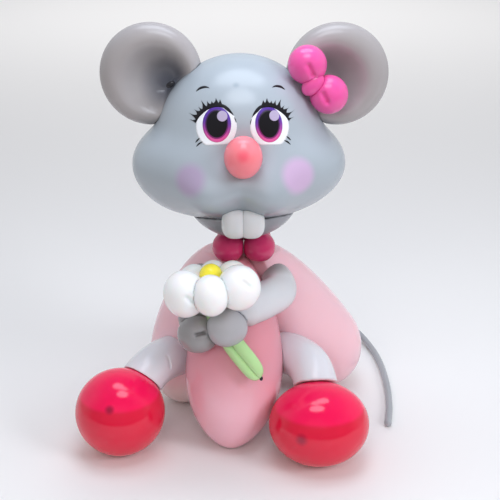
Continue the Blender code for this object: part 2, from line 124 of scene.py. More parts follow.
def ovalSkin(centre, radii, axes=np.eye(3)):
    # distance to an ellipsoid, to first order, and the way out of it
    def skin(points):
        local = (points - np.asarray(centre)) @ axes / radii
        size = np.linalg.norm(local, axis=-1) + 1e-9
        slope = local / radii
        steep = np.linalg.norm(slope, axis=-1) + 1e-9
        return size * (size - 1) / steep, (slope / steep[..., None]) @ axes.T
    return skin


def readAlong(curve, steps, run):
    # a curve that is known at some lengths along it, read at other lengths
    return np.stack([np.interp(run, steps, axis) for axis in curve.T], 1)


def smoothRoute(points, count):
    # a curve through the points, in even steps of its own length: cubics whose slope at each point is
    # half the way from the point before to the one after
    points = np.asarray(points, float)
    ends = np.vstack((2 * points[0] - points[1], points, 2 * points[-1] - points[-2]))
    place = np.linspace(0, len(points) - 1, 400 * len(points))
    first = np.minimum(place.astype(int), len(points) - 2)
    t = (place - first)[:, None]
    a, b, c, d = (ends[first + i] for i in range(4))
    curve = 0.5 * (2 * b + (c - a) * t + (2 * a - 5 * b + 4 * c - d) * t ** 2
                   + (3 * b - a - 3 * c + d) * t ** 3)
    run = np.append(0, np.cumsum(np.linalg.norm(np.diff(curve, axis=0), axis=1)))
    return readAlong(curve, run, np.linspace(0, run[-1], count)), run[-1]


def routeAt(curve, length, run):
    # a route's points at some lengths along it, and the way it goes there
    steps = np.linspace(0, length, len(curve))
    return readAlong(curve, steps, run), unit(readAlong(np.gradient(curve, steps, axis=0), steps, run))


def rings(middle, size, turn, side, top):
    # closed rings about a line of middles; the size may change with the row and with the turn
    return (middle[:, None] + (size * np.cos(turn))[..., None] * side
            + (size * np.sin(turn))[..., None] * top)


def tubeSkin(route, radius):
    # distance to a tube: the distance to its route's nearest point, less the radius
    curve, length = smoothRoute(route, 90)

    def skin(points):
        apart = points[..., None, :] - curve
        far = np.linalg.norm(apart, axis=-1)
        nearest = far.argmin(-1)
        shortest = np.take_along_axis(far, nearest[..., None], -1)[..., 0]
        way = points - curve[nearest]
        return shortest - radius, way / (shortest[..., None] + 1e-9)
    return skin


def tubeGrid(route, radius, rows=150, columns=72, swell=None):
    # circles across the route, each one's radius falling to nothing at both ends as on a half ball;
    # swell changes the radius along the way
    curve, length = smoothRoute(route, 400)
    cap = radius * (1 - np.cos(np.linspace(0, np.pi / 2, rows // 6)))
    run = np.concatenate((cap, np.linspace(radius, length - radius, rows)[1:-1], length - cap[::-1]))
    middle, forward = routeAt(curve, length, run)
    side = unit(np.cross(forward, (0, 0, 1)))
    fromEnd = np.clip(np.minimum(run, length - run) / radius, 0, 1)
    size = radius * np.sqrt(np.clip(1 - (1 - fromEnd) ** 2, 0, 1))
    if swell is not None:
        size = size * swell(run / length)
    points = rings(middle, size[:, None], fullTurn(columns), side[:, None], np.cross(side, forward)[:, None])
    return points, middle


def tubeAnchors(middle, skins, air=0.004):
    # the route's own points, those inside a neighbour replaced by the nearest one that is clear of all
    clear = np.all([skin(middle)[0] > air for skin in skins], axis=0)
    kept = np.flatnonzero(clear)
    nearest = kept[np.abs(np.arange(len(middle))[:, None] - kept).argmin(1)]
    return middle[nearest][:, None]


def soften(points, skin, times=9, reach=0.0030):
    # near a neighbour's skin each point moves to the mean of those beside it, so that the dent's rim is even
    near = np.exp(-(skin(points)[0] / reach) ** 2)[1:-1, :, None] / 2
    for time in range(times):
        mean = (np.roll(points, 1, 1) + np.roll(points, -1, 1))[1:-1] + points[2:] + points[:-2]
        points = points.copy()
        points[1:-1] += near * (mean / 4 - points[1:-1])
    return points


def addPiece(name, points, finish, nodes=()):
    # a closed skin from rows of points whose first and last row are poles; faces point outwards
    rows, columns = points.shape[:2]
    corners = np.concatenate((points[:1, 0], points[1:-1].reshape(-1, 3), points[-1:, 0])) + toFrame
    ring = 1 + np.arange((rows - 2) * columns).reshape(rows - 2, columns)
    after = np.roll(ring, -1, 1)
    quads = np.stack((ring[:-1], ring[1:], after[1:], after[:-1]), -1).reshape(-1, 4)
    last = len(corners) - 1
    top = np.stack((np.zeros(columns, int), ring[0], after[0]), -1)
    bottom = np.stack((np.full(columns, last), after[-1], ring[-1]), -1)
    halves = np.concatenate((quads[:, :3], quads[:, (0, 2, 3)], top, bottom))
    a, b, c = (corners[halves[:, i]] for i in range(3))
    if (a * np.cross(b, c)).sum() < 0:
        quads, top, bottom = quads[:, ::-1], top[:, ::-1], bottom[:, ::-1]
    loops = np.concatenate((quads.ravel(), top.ravel(), bottom.ravel()))
    sizes = np.concatenate((np.full(len(quads), 4), np.full(2 * columns, 3)))
    mesh = bpy.data.meshes.new(name)
    mesh.vertices.add(len(corners))
    mesh.vertices.foreach_set("co", corners.astype(np.float32).ravel())
    mesh.loops.add(len(loops))
    mesh.loops.foreach_set("vertex_index", loops.astype(np.int32))
    mesh.polygons.add(len(sizes))
    mesh.polygons.foreach_set("loop_start", np.append(0, np.cumsum(sizes)[:-1]).astype(np.int32))
    mesh.polygons.foreach_set("use_smooth", np.full(len(sizes), True))
    mesh.update(calc_edges=True)
    mesh.validate()
    mesh.materials.append(finish)
    piece = bpy.data.objects.new(name, mesh)
    bpy.context.scene.collection.objects.link(piece)
    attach(piece, "root")
    if nodes:
        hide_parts(*nodes)


# where the camera stands, how many degrees it looks down, its lens and sensor in millimetres, and the
# width of the square picture
view = {"place": (0.011, -1.494, 0.843), "down": 21.0, "lens": 74.95, "sensor": 36.0, "pixels": 500}
eye = np.array(view["place"])
camera = bpy.data.objects.new("camera", bpy.data.cameras.new("camera"))
camera.data.lens = view["lens"]
camera.data.sensor_width = view["sensor"]
camera.location = eye + toFrame
camera.rotation_euler = (np.radians(90 - view["down"]), 0, 0)
bpy.context.scene.collection.objects.link(camera)
bpy.context.scene.camera = camera


def pixelRays(across, down):
    # ways from the camera through places of the picture
    pitch = np.radians(view["down"])
    forward = np.array((0, np.cos(pitch), -np.sin(pitch)))
    up = np.array((0, np.sin(pitch), np.cos(pitch)))
    focal = view["lens"] / view["sensor"] * view["pixels"]
    across, down = np.broadcast_arrays(np.asarray(across, float), np.asarray(down, float))
    across, down = across - view["pixels"] / 2, down - view["pixels"] / 2
    return unit(forward * focal + np.stack((across, 0 * across, 0 * across), -1) - down[..., None] * up)


def seenAt(points, *places):
    # the surface's points that show at places of the picture
    found = []
    for across, down in places:
        ray = pixelRays(across, down)
        apart = points.reshape(-1, 3) - eye
        along = apart @ ray
        aside = np.linalg.norm(apart - along[:, None] * ray, axis=1)
        found.append(points.reshape(-1, 3)[(along + 60 * np.maximum(aside - 0.001, 0)).argmin()])
    return found


# settings of nodes that come again: a share that starts and ends gently, and a mix of two colours
eased, ofColours = {"interpolation_type": "SMOOTHSTEP"}, {"data_type": "RGBA"}


def addNode(tree, kind, settings=None, **inputs):
    # a node with its settings, and inputs that are values or the sockets they come from
    node = tree.nodes.new("ShaderNode" + kind)
    for name, value in (settings or {}).items():
        setattr(node, name, value)
    for name, value in inputs.items():
        name = name.replace("_", " ")
        socket = node.inputs[int(name[1:])] if name[0] == "n" and name[1:].isdigit() else node.inputs[name]
        if isinstance(value, bpy.types.NodeSocket):
            tree.links.new(value, socket)
        else:
            socket.default_value = value
    return node


def startFinish(name):
    # a new material, its node tree and its shader
    finish = bpy.data.materials.new(name)
    finish.use_nodes = True
    tree = finish.node_tree
    return finish, tree, tree.nodes["Principled BSDF"]


def makeLatex(name, colour, thickAndShade, rough=0.2, through=0.0, bleed=0.006, thickAndShadeSpots=(), stains=(), paintedLightBand=None):
    # Natural rubber latex, dipped in thin coats on a form and blown up: a glossy skin, a little cloudy,
    # that lets some light through. Where it was stretched less, at its crown and its tied ends, it is
    # thicker and deeper in colour. Spots are (place, radius) where that deeper colour is mixed in: at
    # such thicker places, and as painted shade where a spot darkens a part that lies in shade. Stains
    # are (place, radius, colour, edge) of paint on the skin. Below a set height the colour turns to
    # another, painted light and shade: a paler painted glow low in pale balloons, a darker painted
    # shade low on the feet: (height, edge, colour).
    finish, tree, shader = startFinish(name)
    place = addNode(tree, "TexCoord").outputs["Object"]
    clouds = addNode(tree, "TexNoise", Vector=place, Scale=22.0, Detail=1.0, Roughness=0.5)
    share = addNode(tree, "Math", {"operation": "MULTIPLY"}, n0=clouds.outputs["Fac"], n1=0.08)
    factor = share.outputs[0]
    for middle, radius in thickAndShadeSpots:
        far = addNode(tree, "VectorMath", {"operation": "DISTANCE"}, n0=place,
                      n1=tuple(np.asarray(middle) + toFrame))
        near = addNode(tree, "MapRange", {"interpolation_type": "SMOOTHERSTEP"},
                       n0=far.outputs["Value"], n1=0.0, n2=radius, n3=1.0, n4=0.0)
        factor = addNode(tree, "Math", {"operation": "MAXIMUM"}, n0=factor, n1=near.outputs[0]).outputs[0]
    skin = linear(colour)
    if paintedLightBand:
        height, edge, lower = paintedLightBand
        up = addNode(tree, "SeparateXYZ", Vector=place).outputs["Z"]
        below = addNode(tree, "MapRange", eased, n0=up, n1=height - edge, n2=height + edge, n3=0.85, n4=0.0)
        skin = addNode(tree, "Mix", ofColours, n0=below.outputs[0], n6=skin, n7=linear(lower)).outputs[2]
    skin = addNode(tree, "Mix", ofColours, n0=factor, n6=skin, n7=linear(thickAndShade)).outputs[2]
    for middle, radius, paint, edge in stains:
        far = addNode(tree, "VectorMath", {"operation": "DISTANCE"}, n0=place,
                      n1=tuple(np.asarray(middle) + toFrame))
        near = addNode(tree, "MapRange", eased,
                       n0=far.outputs["Value"], n1=radius - edge, n2=radius + edge, n3=1.0, n4=0.0)
        share = addNode(tree, "Math", {"operation": "MULTIPLY"}, n0=near.outputs[0], n1=0.9)
        skin = addNode(tree, "Mix", ofColours, n0=share.outputs[0], n6=skin, n7=linear(paint)).outputs[2]
    tree.links.new(skin, shader.inputs["Base Color"])
    shader.inputs["Roughness"].default_value = rough
    shader.inputs["IOR"].default_value = 1.52
    shader.inputs["Subsurface Weight"].default_value = through
    shader.inputs["Subsurface Radius"].default_value = (1.0, 0.6, 0.5)
    shader.inputs["Subsurface Scale"].default_value = bleed
    return finish


# The head is one balloon squeezed into a dome and two cheeks.
head = {
    "domeCentre": (-0.004, -0.010, 0.454), "domeRadii": (0.1185, 0.117, 0.118),
    "cheekCentre": (-0.005, -0.020, 0.417), "cheekRadii": (0.1555, 0.126, 0.081),
    "blend": 15.0,
    # swellings and hollows: way from the middle, height, width as an angle
    "relief": (((0.0065, -0.133, 0.024), -0.016, 0.26), ((-0.0440, -0.120, -0.036), 0.0150, 0.24),
               ((0.0430, -0.120, -0.038), 0.0150, 0.24), ((0.0050, -0.120, -0.046), -0.0080, 0.15),
               ((-0.085, -0.100, 0.030), 0.0030, 0.30), ((0.090, -0.100, 0.030), 0.0030, 0.30),
               ((-0.114, -0.030, -0.080), 0.0060, 0.35)),
}
headMiddle = (np.array(head["domeCentre"]) + np.array(head["cheekCentre"])) / 2


def ovalReach(way, origin, centre, radii):
    # how far it is from a point inside an ellipsoid to its skin along each way
    slope = way / np.array(radii)
    start = (np.array(origin) - np.array(centre)) / np.array(radii)
    a = (slope * slope).sum(-1)
    b = slope @ start
    return (-b + np.sqrt(b * b - a * (start @ start - 1))) / a


def headReach(way):
    # a high-power mean of the dome's and the cheeks' reach, with bell-shaped swellings beside the nose
    # and hollows under it and below it
    dome = ovalReach(way, headMiddle, head["domeCentre"], head["domeRadii"])
    cheeks = ovalReach(way, headMiddle, head["cheekCentre"], head["cheekRadii"])
    skin = (dome ** head["blend"] + cheeks ** head["blend"]) ** (1 / head["blend"])
    for middle, height, width in head["relief"]:
        away = np.arccos(np.clip(way @ unit(middle), -1, 1))
        skin = skin + height * np.exp(-((away / width) ** 2))
    return skin


def headSkin(points):
    way = points - headMiddle
    far = np.linalg.norm(way, axis=-1)
    way = way / (far[..., None] + 1e-9)
    return far - headReach(way), way


def onHead(across, down, lift=0.0):
    # where the rays through places of the picture meet the head, by halving, then lifted off it
    ray = pixelRays(across, down)
    near = np.full(ray.shape[:-1], 1.20)
    far = np.full(ray.shape[:-1], 1.52)
    for halving in range(40):
        middle = (near + far) / 2
        inside = headSkin(eye + ray * middle[..., None])[0] < 0
        far = np.where(inside, middle, far)
        near = np.where(inside, near, middle)
    points = eye + ray * far[..., None]
    return points + headSkin(points)[1] * lift


leftBlush, rightBlush = onHead(np.array((189.3, 299.0)), np.array((180.5, 176.0)))
crown = onHead(236.0, 85.0)
# the wide spot low on the head, in its deepest grey, is painted shade of the head's underside
headShadeMiddle = headMiddle + (0.0, -0.060, -0.105)
# the left blush is a darker paint than the right one: painted shade on the head's darker left side
latexHead = makeLatex("latex_blue_grey", "#AEB8C0", "#45474A", rough=0.23, thickAndShadeSpots=((headShadeMiddle, 0.128),),
                      stains=((leftBlush, 0.0220, "#B3A0BE", 0.0085),
                              (rightBlush, 0.0245, "#D2B2D6", 0.0080), (crown, 0.0040, "#97A3AD", 0.0035)))
way = sphereGrid(160, 220)
addPiece("head_skin", headMiddle + way * headReach(way)[..., None], latexHead, ("head",))
print("head")

# The eyes are printed stickers, drawn in the picture's own steps from the middle of the left one. The
# pairs below are a middle with two radii, or half sizes, or places along an edge.
eyes = {
    "white": (20.5, 19.7, 23.0), "cut": 18.9, "slant": -0.07, "iris": (0.6, -1.5, 14.3, 17.9),
    "ring": (0.5, -1.8, 11.5, 14.8), "pupil": (0.5, -1.8, 10.3, 13.5), "glint": (6.0, -9.7, 5.2, 5.3),
    "step": 0.00012,    # each layer's height over the one below, in metres
    "lidUnder": ((-20.6, -3.1), (-17.9, -7.6), (-14.3, -11.6), (-9.4, -15.6), (-4.5, -17.9), (0.8, -18.8),
                 (6.6, -18.1), (10.2, -15.6), (13.3, -13.4), (17.4, -10.3)),
    # along the upper edge: a valley, then a tip, and so on; how many tips, and how hollow their sides
    "lidOver": ((-20.6, -2.7), (-27.1, -6.7), (-20.7, -6.5), (-27.7, -13.2), (-19.3, -11.5), (-22.6, -17.0),
                (-16.3, -15.2), (-18.1, -19.2), (-14.0, -16.8), (-15.0, -25.5), (-9.6, -19.7), (-9.4, -25.2),
                (-5.9, -21.9), (-5.0, -25.0), (-2.7, -22.8), (-0.5, -28.1), (1.6, -22.9), (3.7, -26.4),
                (4.4, -22.4), (6.6, -21.7), (8.9, -20.8), (11.6, -18.8), (13.8, -16.5), (16.0, -13.4),
                (17.6, -10.2)),
    "tips": 9, "hollow": 0.68,
    "lowerLashes": (((-16.4, 11.9), (-18.6, 14.0), (-20.9, 16.6)),
                    ((-13.4, 15.6), (-17.0, 17.6), (-20.1, 20.7))),
    "corner": ((17.8, -8.9), (19.2, -6.0), (20.0, -3.1)),
    "brow": ((-20.4, -34.4), (-16.6, -37.5), (-12.1, -38.9), (-8.5, -38.6), (-6.7, -37.5)),
}
eyePlaces = {"left": ((216.3, 126.0), 1, 1.0, 0.0), "right": ((269.5, 126.0), -1, 0.95, 0.105)}


def eyeToPicture(side, across, down):
    # the right eye is the left one's mirror image, turned a little
    middle, mirror, wide, turn = eyePlaces[side]
    across, down = np.asarray(across, float) * mirror * wide, np.asarray(down, float)
    return (middle[0] + across * np.cos(turn) + down * np.sin(turn),
            middle[1] - across * np.sin(turn) + down * np.cos(turn))


def patchGrid(side, outline, lift, middle=(0.0, 0.0), rows=16, columns=96, mirrored=True):
    # rings from the middle out to an outline on the upper side, and back to the middle underneath
    turn = fullTurn(columns)
    share = np.concatenate((np.linspace(0, 1, rows), np.linspace(1, 0, rows // 3)))[:, None]
    lifts = np.concatenate((np.full(rows, lift), np.full(rows // 3, -eyes["step"])))
    radius = share * outline(turn)
    flip = 1 if mirrored else eyePlaces[side][1]
    across, down = eyeToPicture(side, flip * middle[0] + radius * np.cos(turn),
                                middle[1] + radius * np.sin(turn))
    return onHead(across, down, lifts[:, None, None] * np.ones((1, columns, 1)))


def oval(wide, high):
    # the radius of an ellipse at each turn about its middle
    return lambda turn: 1 / np.hypot(np.cos(turn) / wide, np.sin(turn) / high)


def whiteOutline(turn):
    # half an ellipse above and half below, whose lower edge is cut off along a slightly slanting line
    wide, over, under = eyes["white"]
    line = eyes["cut"] / np.maximum(np.sin(turn) - eyes["slant"] * np.cos(turn), 0.05)
    curve = np.where(np.sin(turn) < 0, oval(wide, over)(turn), oval(wide, under)(turn))
    soft = 0.7      # how gently the two meet, in the picture's steps
    return -soft * np.log(np.exp(-curve / soft) + np.exp(-line / soft))


def stripGrid(side, under, over, lift, across=7):
    # rows from an under edge to an over edge; the ends close in points, and the back lies in the skin
    share = np.concatenate((np.linspace(0, 1, across), np.linspace(1, 0, across)))[None, :, None]
    lifts = np.where(np.arange(2 * across) < across, lift, -eyes["step"])[None, :, None]
    points = under[:, None] * (1 - share) + over[:, None] * share
    points[0], points[-1] = points[0].mean(0), points[-1].mean(0)
    places = eyeToPicture(side, points[..., 0], points[..., 1])
    return onHead(*places, lifts * np.ones((len(points), 1, 1)))


def lashEdge(steps=9):
    # each side of a lash is a parabola from the valley beside it to its tip, bent towards its own axis
    edge = np.array(eyes["lidOver"])
    parts = []
    for number in range(eyes["tips"]):
        before, tip, after = edge[2 * number:2 * number + 3]
        control = eyes["hollow"] * (before + after) / 2 + (1 - eyes["hollow"]) * tip
        t = np.linspace(0, 1, steps, endpoint=False)[:, None]
        parts.append((1 - t) ** 2 * before + 2 * t * (1 - t) * control + t ** 2 * tip)
        parts.append((1 - t) ** 2 * tip + 2 * t * (1 - t) * control + t ** 2 * after)
    return np.concatenate(parts + [smoothRoute(edge[2 * eyes["tips"]:], 40)[0]])


def leafEdges(route, width, count=24):
    # a stroke of the pen: the width rises and falls along the route as a sine
    line = smoothRoute(route, count)[0]
    slope = unit(np.gradient(line, axis=0))
    half = width / 2 * np.sin(np.linspace(0, np.pi, count))[:, None] ** 0.8
    normal = np.stack((-slope[:, 1], slope[:, 0]), 1)
    return line - normal * half, line + normal * half


def makeVinyl(name, colour, lower=None, heights=(0, 1)):
    # Printed vinyl film: flat inks under a satin skin. A lower colour makes a gradient down the print.
    finish, tree, shader = startFinish(name)
    place = addNode(tree, "TexCoord").outputs["Object"]
    dots = addNode(tree, "TexNoise", Vector=place, Scale=900.0, Detail=1.0)
    ink = linear(colour)
    faded = tuple(0.9 * part for part in ink[:3]) + (1.0,)
    skin = addNode(tree, "Mix", ofColours, n0=dots.outputs["Fac"], n6=ink, n7=faded).outputs[2]
    if lower:
        height = addNode(tree, "SeparateXYZ", Vector=place).outputs["Z"]
        share = addNode(tree, "MapRange", eased, n0=height, n1=heights[0], n2=heights[1], n3=0.0, n4=1.0)
        skin = addNode(tree, "Mix", ofColours, n0=share.outputs[0], n6=linear(lower), n7=skin).outputs[2]
    tree.links.new(skin, shader.inputs["Base Color"])
    shader.inputs["Roughness"].default_value = 0.35
    shader.inputs["IOR"].default_value = 1.46
    return finish


irisHeights = onHead(np.array((216.9, 216.9)), np.array((143.0, 119.0)))[:, 2]
vinylWhite = makeVinyl("vinyl_white", "#F4F7FB")
vinylIris = makeVinyl("vinyl_violet_to_pink", "#5C38A2", "#E0589C", irisHeights)
vinylRing = makeVinyl("vinyl_deep_violet", "#40205C", "#8E2F78", irisHeights)
vinylBlack = makeVinyl("vinyl_black", "#131218")
vinylGlint = makeVinyl("vinyl_lilac", "#BBAFCC")
step = eyes["step"]
over = lashEdge()
under = smoothRoute(eyes["lidUnder"], len(over))[0]
for side in ("left", "right"):
    addPiece("eye_white_" + side, patchGrid(side, whiteOutline, step), vinylWhite)
    for number, (part, finish) in enumerate((("iris", vinylIris), ("ring", vinylRing),
                                              ("pupil", vinylBlack), ("glint", vinylGlint))):
        x, y, wide, high = eyes[part]
        points = patchGrid(side, oval(wide, high), (number + 2) * step, (x, y), mirrored=part != "glint")
        addPiece("eye_%s_%s" % (part, side), points, finish)
    addPiece("eye_lashes_" + side, stripGrid(side, under, over, 3 * step), vinylBlack)
    for number, route in enumerate(eyes["lowerLashes"]):
        addPiece("eye_lash_%d_%s" % (number + 1, side), stripGrid(side, *leafEdges(route, 1.5), 3 * step),
                 vinylBlack)
    for part, width, layer in (("corner", 0.9, 3), ("brow", 2.3, 2)):
        addPiece("eye_%s_%s" % (part, side), stripGrid(side, *leafEdges(eyes[part], width), layer * step),
                 vinylBlack)
print("eyes")

jaw = {"centre": (0.000, -0.035, 0.372), "radii": (0.083, 0.075, 0.0645)}
collarTop = 0.3082      # the jaw sits on the collar there
latexJaw = makeLatex("latex_grey_jaw", "#8D9096", "#74777C", rough=0.22)
points = np.array(jaw["centre"]) + sphereGrid(90, 130) * jaw["radii"]
points = pressFlat(points, (0, 0, collarTop + gap), (0, 0, -1), 0.0005, 0)
addPiece("jaw_skin", dentBy(points, np.array((0.0, -0.025, 0.322)), headSkin), latexJaw, ("jaw",))
jawSkin = ovalSkin(jaw["centre"], jaw["radii"])

nose = {"centre": (0.002, -0.148, 0.459), "radii": (0.026, 0.027, 0.029)}
noseFront = np.array(nose["centre"]) + unit((0.0, -1.0, 0.33)) * 0.027
latexNose = makeLatex("latex_coral", "#FF8B95", "#FB687B", rough=0.2, through=0.35,
                      thickAndShadeSpots=((noseFront, 0.014),))
points = np.array(nose["centre"]) + sphereGrid(80, 110) * nose["radii"]
addPiece("nose_skin", dentBy(points, np.array(nose["centre"]), headSkin), latexNose, ("nose",))

teeth = {"centre": (0.0015, -0.124, 0.357), "radii": (0.0190, 0.0140, 0.0225), "spacing": 0.0225,
         "power": 2.6}


def toothGrid(side, rows=80, columns=100):
    # an ellipsoid made boxier from the front: its reach there follows a higher power than two
    ball = sphereGrid(rows, columns)
    square = (np.abs(ball[..., 0]) ** teeth["power"] + np.abs(ball[..., 2]) ** teeth["power"]
              + np.abs(ball[..., 1]) ** 2.0) ** (-1 / teeth["power"])
    flat = np.hypot(ball[..., 0], ball[..., 2])
    square = 1 + (square - 1) * flat ** 2
    middle = np.array(teeth["centre"]) + np.array((side * teeth["spacing"] / 2, 0, 0))
    return middle, middle + ball * square[..., None] * teeth["radii"]


latexTeeth = makeLatex("latex_clear_white", "#D8D9DB", "#B4B5B9", rough=0.14, through=0.4)
for name, side in (("left", -1), ("right", 1)):
    middle, points = toothGrid(side)
    points = pressFlat(points, teeth["centre"], (-side, 0, 0), 0.0008)
    front = middle + (0, -0.010, -0.006)
    points = dentBy(points, front, headSkin, jawSkin)
    addPiece("tooth_" + name, points, latexTeeth, ("teeth",))
print("jaw, nose and teeth")

# The ears are flat round balloons folded towards the head.
ear = {
    "out": 0.1345, "middle": 0.0025, "height": 0.542, "radius": 0.074,
    # the pinch, from the ear's middle; how far out the rim's ridge lies, its height, and the reach below
    # which it is thinner; the dish's depth behind the middle plane, and where it ends; the bulge behind;
    # the tied end's radii
    "pinch": (-0.0235, -0.0125), "ridge": 0.75, "rim": 0.0240, "fatReach": 0.055,
    "dish": -0.0120, "dishEnd": 0.20, "back": 0.0200, "knot": (0.0070, 0.0042, 0.0040),
}


def earCentre(side):
    return np.array((ear["middle"] + side * ear["out"], 0.0, ear["height"]))


def earPinch(side):
    across, up = ear["pinch"]
    return earCentre(side) + (side * across, 0.0, up)


def earOutline(side, turn):
    # how far it is from the pinch to the ear's round edge or to the head, whichever comes first
    ways = np.stack((np.cos(turn), 0 * turn, np.sin(turn)), -1)
    start = (earPinch(side) - earCentre(side)) / ear["radius"]
    edge = ear["radius"] * (-(ways @ start) + np.sqrt((ways @ start) ** 2 + 1 - start @ start))
    steps = np.linspace(0.004, 0.12, 400)
    free = headSkin(earPinch(side) + ways[:, None] * steps[:, None])[0] > -0.0060
    head = np.where(free.all(1), 1.0, steps[np.argmin(free, 1)])
    reach = (edge ** -12.0 + head ** -12.0) ** (-1 / 12)
    for times in range(6):
        reach = (np.roll(reach, 1) + 2 * reach + np.roll(reach, -1)) / 4
    return reach


def earFront(out, reach):
    # how far before the middle plane the ear's front lies, at a share of the way out: a smooth step from
    # the dish up to the rim's ridge, then a quarter of an ellipse down to the edge
    fat = np.clip(reach / ear["fatReach"], 0, 1) ** 0.8
    ridge = ear["ridge"]
    rise = np.clip((out / ridge - ear["dishEnd"]) / (1 - ear["dishEnd"]), 0, 1)
    rise = rise * rise * (3 - 2 * rise)
    inner = ear["dish"] * (1 - rise) + ear["rim"] * rise * fat
    outer = ear["rim"] * fat * np.sqrt(np.clip(1 - ((out - ridge) / (1 - ridge)) ** 2, 0, 1))
    return np.where(out < ridge, inner, outer), fat


def earGrid(side, rows=112, columns=240):
    # from the pinch out over the dish and up to the rim's ridge, round the rim, and back behind
    turn = fullTurn(columns)
    reach = earOutline(side, turn)[None, :]
    ridge = ear["ridge"]
    overRim = np.sin(np.linspace(0, np.pi / 2, rows // 4 + 1))[1:, None]
    behind = np.linspace(np.pi / 2, 0, rows // 2)[1:, None]
    out = np.concatenate((np.linspace(0, ridge, rows // 2)[:, None], ridge + (1 - ridge) * overRim))
    front, fat = earFront(out, reach)
    back = -ear["back"] * np.cos(behind) ** 0.9 * (1 + (fat - 1) * np.sin(behind))
    out = np.concatenate((out, np.sin(behind))) * reach
    return earPinch(side) + np.stack((out * np.cos(turn), -np.concatenate((front, back)),
                                      out * np.sin(turn)), -1)


def earSkin(side):
    # distance in front of the ear: what leans on the ear meets only its rim
    turns = fullTurn(720)
    reaches = earOutline(side, turns)

    def skin(points):
        local = points - earPinch(side)
        turn = np.arctan2(local[..., 2], local[..., 0]) % (2 * np.pi)
        reach = np.interp(turn, turns, reaches, period=2 * np.pi)
        out = np.hypot(local[..., 0], local[..., 2]) / reach
        far = np.where(out < 1, -local[..., 1] - earFront(out, reach)[0], 1.0)
        return far, np.stack((0 * far, -np.ones_like(far), 0 * far), -1)
    return skin


latexKnot = makeLatex("latex_knot", "#2E2E33", "#1C1C20", rough=0.15)
# each ear's wide spot at the pinch darkens its dish in a colour of its own: painted shade and painted
# reflection, bluer in the left ear, warmer in the right one under the bow
for name, side, thickAndShade in (("ear_left", -1, "#5F6573"), ("ear_right", 1, "#A0989D")):
    pinch = earPinch(side)
    latexEar = makeLatex("latex_warm_grey_" + name, "#ABA6A6", thickAndShade, rough=0.22, thickAndShadeSpots=((pinch, 0.055),))
    points = dentBy(earGrid(side), pinch + (side * 0.010, 0, 0.006), headSkin)
    addPiece(name + "_skin", points, latexEar, (name,))
    # the tied neck of the ear, between it and the head
    lean = unit((-side * 0.85, 0.0, 0.53))
    axes = np.stack((lean, np.cross((0, 1, 0), lean), (0, 1, 0)), 1)
    points = pinch + (-side * 0.0050, -0.0100, -0.001) + (sphereGrid(40, 60) * ear["knot"]) @ axes.T
    addPiece(name + "_knot", dentBy(points, pinch + (0, -0.012, 0), headSkin), latexKnot)
print("ears")

bow = {
    "radius": 0.0275, "middleRadii": (0.0185, 0.0135, 0.0130), "upper": (0.091, -0.046, 0.564),
    "lower": (0.122, -0.046, 0.522), "middle": (0.099, -0.056, 0.538),
    # each bubble's crease, from one place of the picture to another
    "creases": {"bow_upper": ((309.0, 66.5), (314.0, 76.5)), "bow_lower": ((327.5, 103.0), (323.0, 95.0))},
}
latexBow = makeLatex("latex_hot_pink", "#F25FAA", "#DB2F86", rough=0.18, through=0.25)
upper, lower, knot = (np.array(bow[key]) for key in ("upper", "lower", "middle"))
lean = unit((0.72, 0.0, 0.70))
axes = np.stack((lean, (0, 1, 0), np.cross(lean, (0, 1, 0))), 1)
middleRadii = np.array(bow["middleRadii"])
middleSkin = ovalSkin(knot, middleRadii, axes)
for name, centre, other in (("bow_upper", upper, lower), ("bow_lower", lower, upper)):
    points = centre + sphereGrid(84, 110) * bow["radius"]
    points = pressFlat(points, (upper + lower) / 2, other - centre, 0.002)
    points = dentBy(points, centre, middleSkin, earSkin(1), headSkin)
    points = crease(points, centre, *seenAt(points, *bow["creases"][name]), 0.0055, 0.0036)
    addPiece(name + "_skin", points, latexBow, (name,))
points = dentBy(knot + (sphereGrid(80, 100) * middleRadii) @ axes.T, knot, earSkin(1), headSkin)
addPiece("bow_middle_skin", points, latexBow, ("bow_middle",))
print("bow")

# The collar is four bubbles round the neck.
neck = np.array((0.0015, 0.0, 0.266))
collar = {"radii": (0.0245, 0.0270, 0.0235), "dent": 0.0045, "squeeze": 0.0013, "backSize": 0.88}
latexCollar = makeLatex("latex_crimson", "#CB3568", "#8C1741", rough=0.12, through=0.2)
collarSkins = []
for name, across, back in (("collar_front_left", -1, -1), ("collar_front_right", 1, -1),
                           ("collar_back_right", 1, 1), ("collar_back_left", -1, 1)):
    radii = np.array(collar["radii"]) * (collar["backSize"] if back > 0 else 1)
    reach = radii - collar["squeeze"]
    centre = neck + np.array((across * reach[0], back * reach[1], radii[2] - collar["dent"]))
    points = centre + sphereGrid(70, 90) * radii
    points = pressFlat(points, neck, (-across, 0, 0), 0.002)
    points = pressFlat(points, neck, (0, -back, 0), 0.002)
    points = pressFlat(points, (0, 0, collarTop), (0, 0, 1), 0.0005, 0)
    points = pressFlat(points, neck, (0, 0, -1), 0.002, 0)
    addPiece(name + "_skin", points, latexCollar, (name,))
    collarSkins.append(ovalSkin(centre, radii))
# the tied necks between the two front bubbles, made near black: painted shade of the gap between them
latexTiedAndShade = makeLatex("latex_tied_necks_and_shade", "#4A1226", "#2E0A18", rough=0.2)
middle = neck + (0, -0.026, 0.0365)
points = dentBy(middle + sphereGrid(40, 60) * (0.0080, 0.0120, 0.0052), middle, *collarSkins[:2])
addPiece("collar_knot", pressFlat(points, (0, 0, collarTop), (0, 0, 1), 0.0005, 0), latexTiedAndShade)
print("collar")

